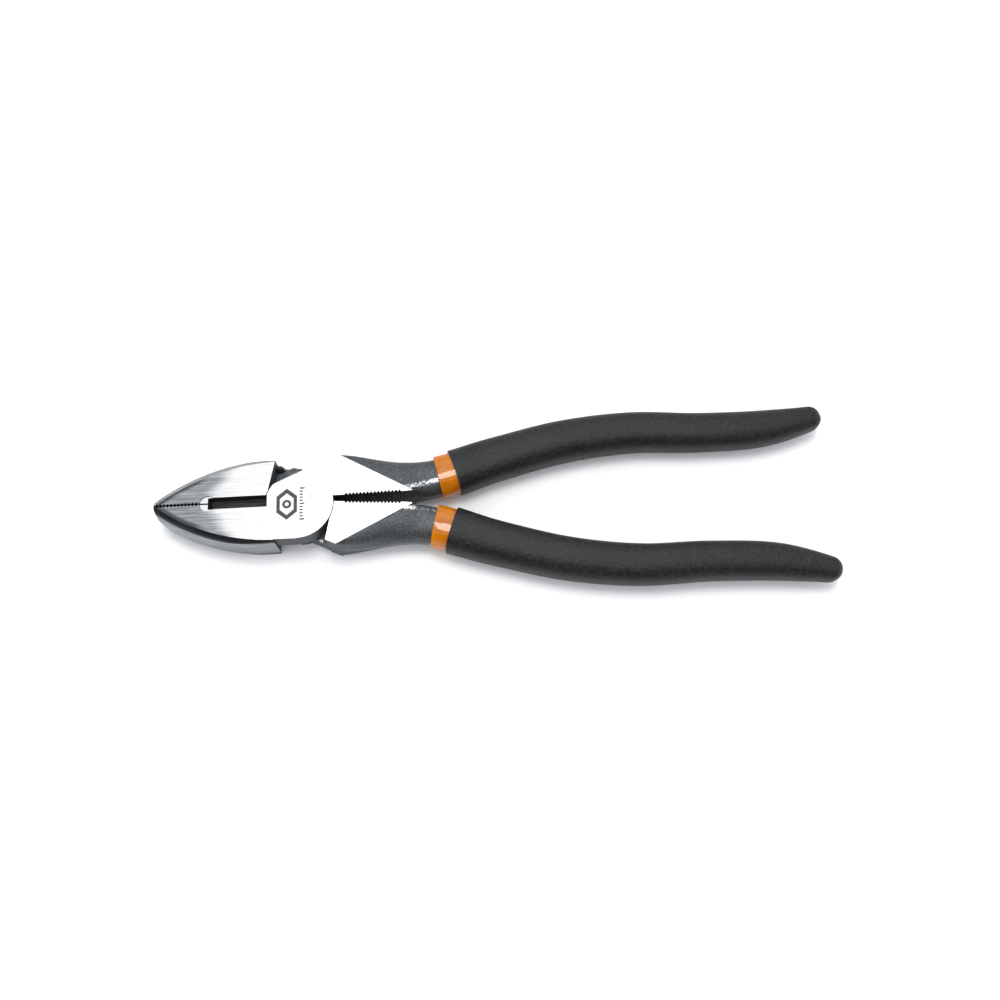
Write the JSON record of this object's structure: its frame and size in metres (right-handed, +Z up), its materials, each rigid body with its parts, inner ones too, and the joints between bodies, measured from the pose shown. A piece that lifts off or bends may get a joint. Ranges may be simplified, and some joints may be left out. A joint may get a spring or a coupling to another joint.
{
  "type": "lineman pliers",
  "caption": "Side-cutting lineman's pliers: two forged halves in a riveted lap joint, curved handles with an amber under-dip and matte black over-dip.",
  "frame": {"origin": "on the pivot axis, in the plane of the head's lower ground face, which the head rests on", "axes": "+X along the closing line to the handle ends, +Y to the handle of the half whose lap is on top, +Z up through the head along the pivot"},
  "size_m": [0.2414, 0.0673, 0.015],
  "materials": {
    "forged_steel": "brushed ground faces, satin jaw sides, black oxide on the forged handles",
    "under_dip": "glossy amber vinyl dip",
    "over_dip": "matte black vinyl dip with a fine pebble"
  },
  "bodies": {
    "upper_half": {"half_upper_lap": "forged_steel", "rivet": "forged_steel", "under_dip_upper_lap": "under_dip", "grip_upper_lap": "over_dip"},
    "lower_half": {"half_lower_lap": "forged_steel", "under_dip_lower_lap": "under_dip", "grip_lower_lap": "over_dip"}
  },
  "joints": [
    {"name": "jaw_hinge", "type": "hinge", "parent": "upper_half", "child": "lower_half", "pos_m": [0, 0, 0.0075], "axis": [0, 0, -1], "range_deg": [0, 35]}
  ]
}
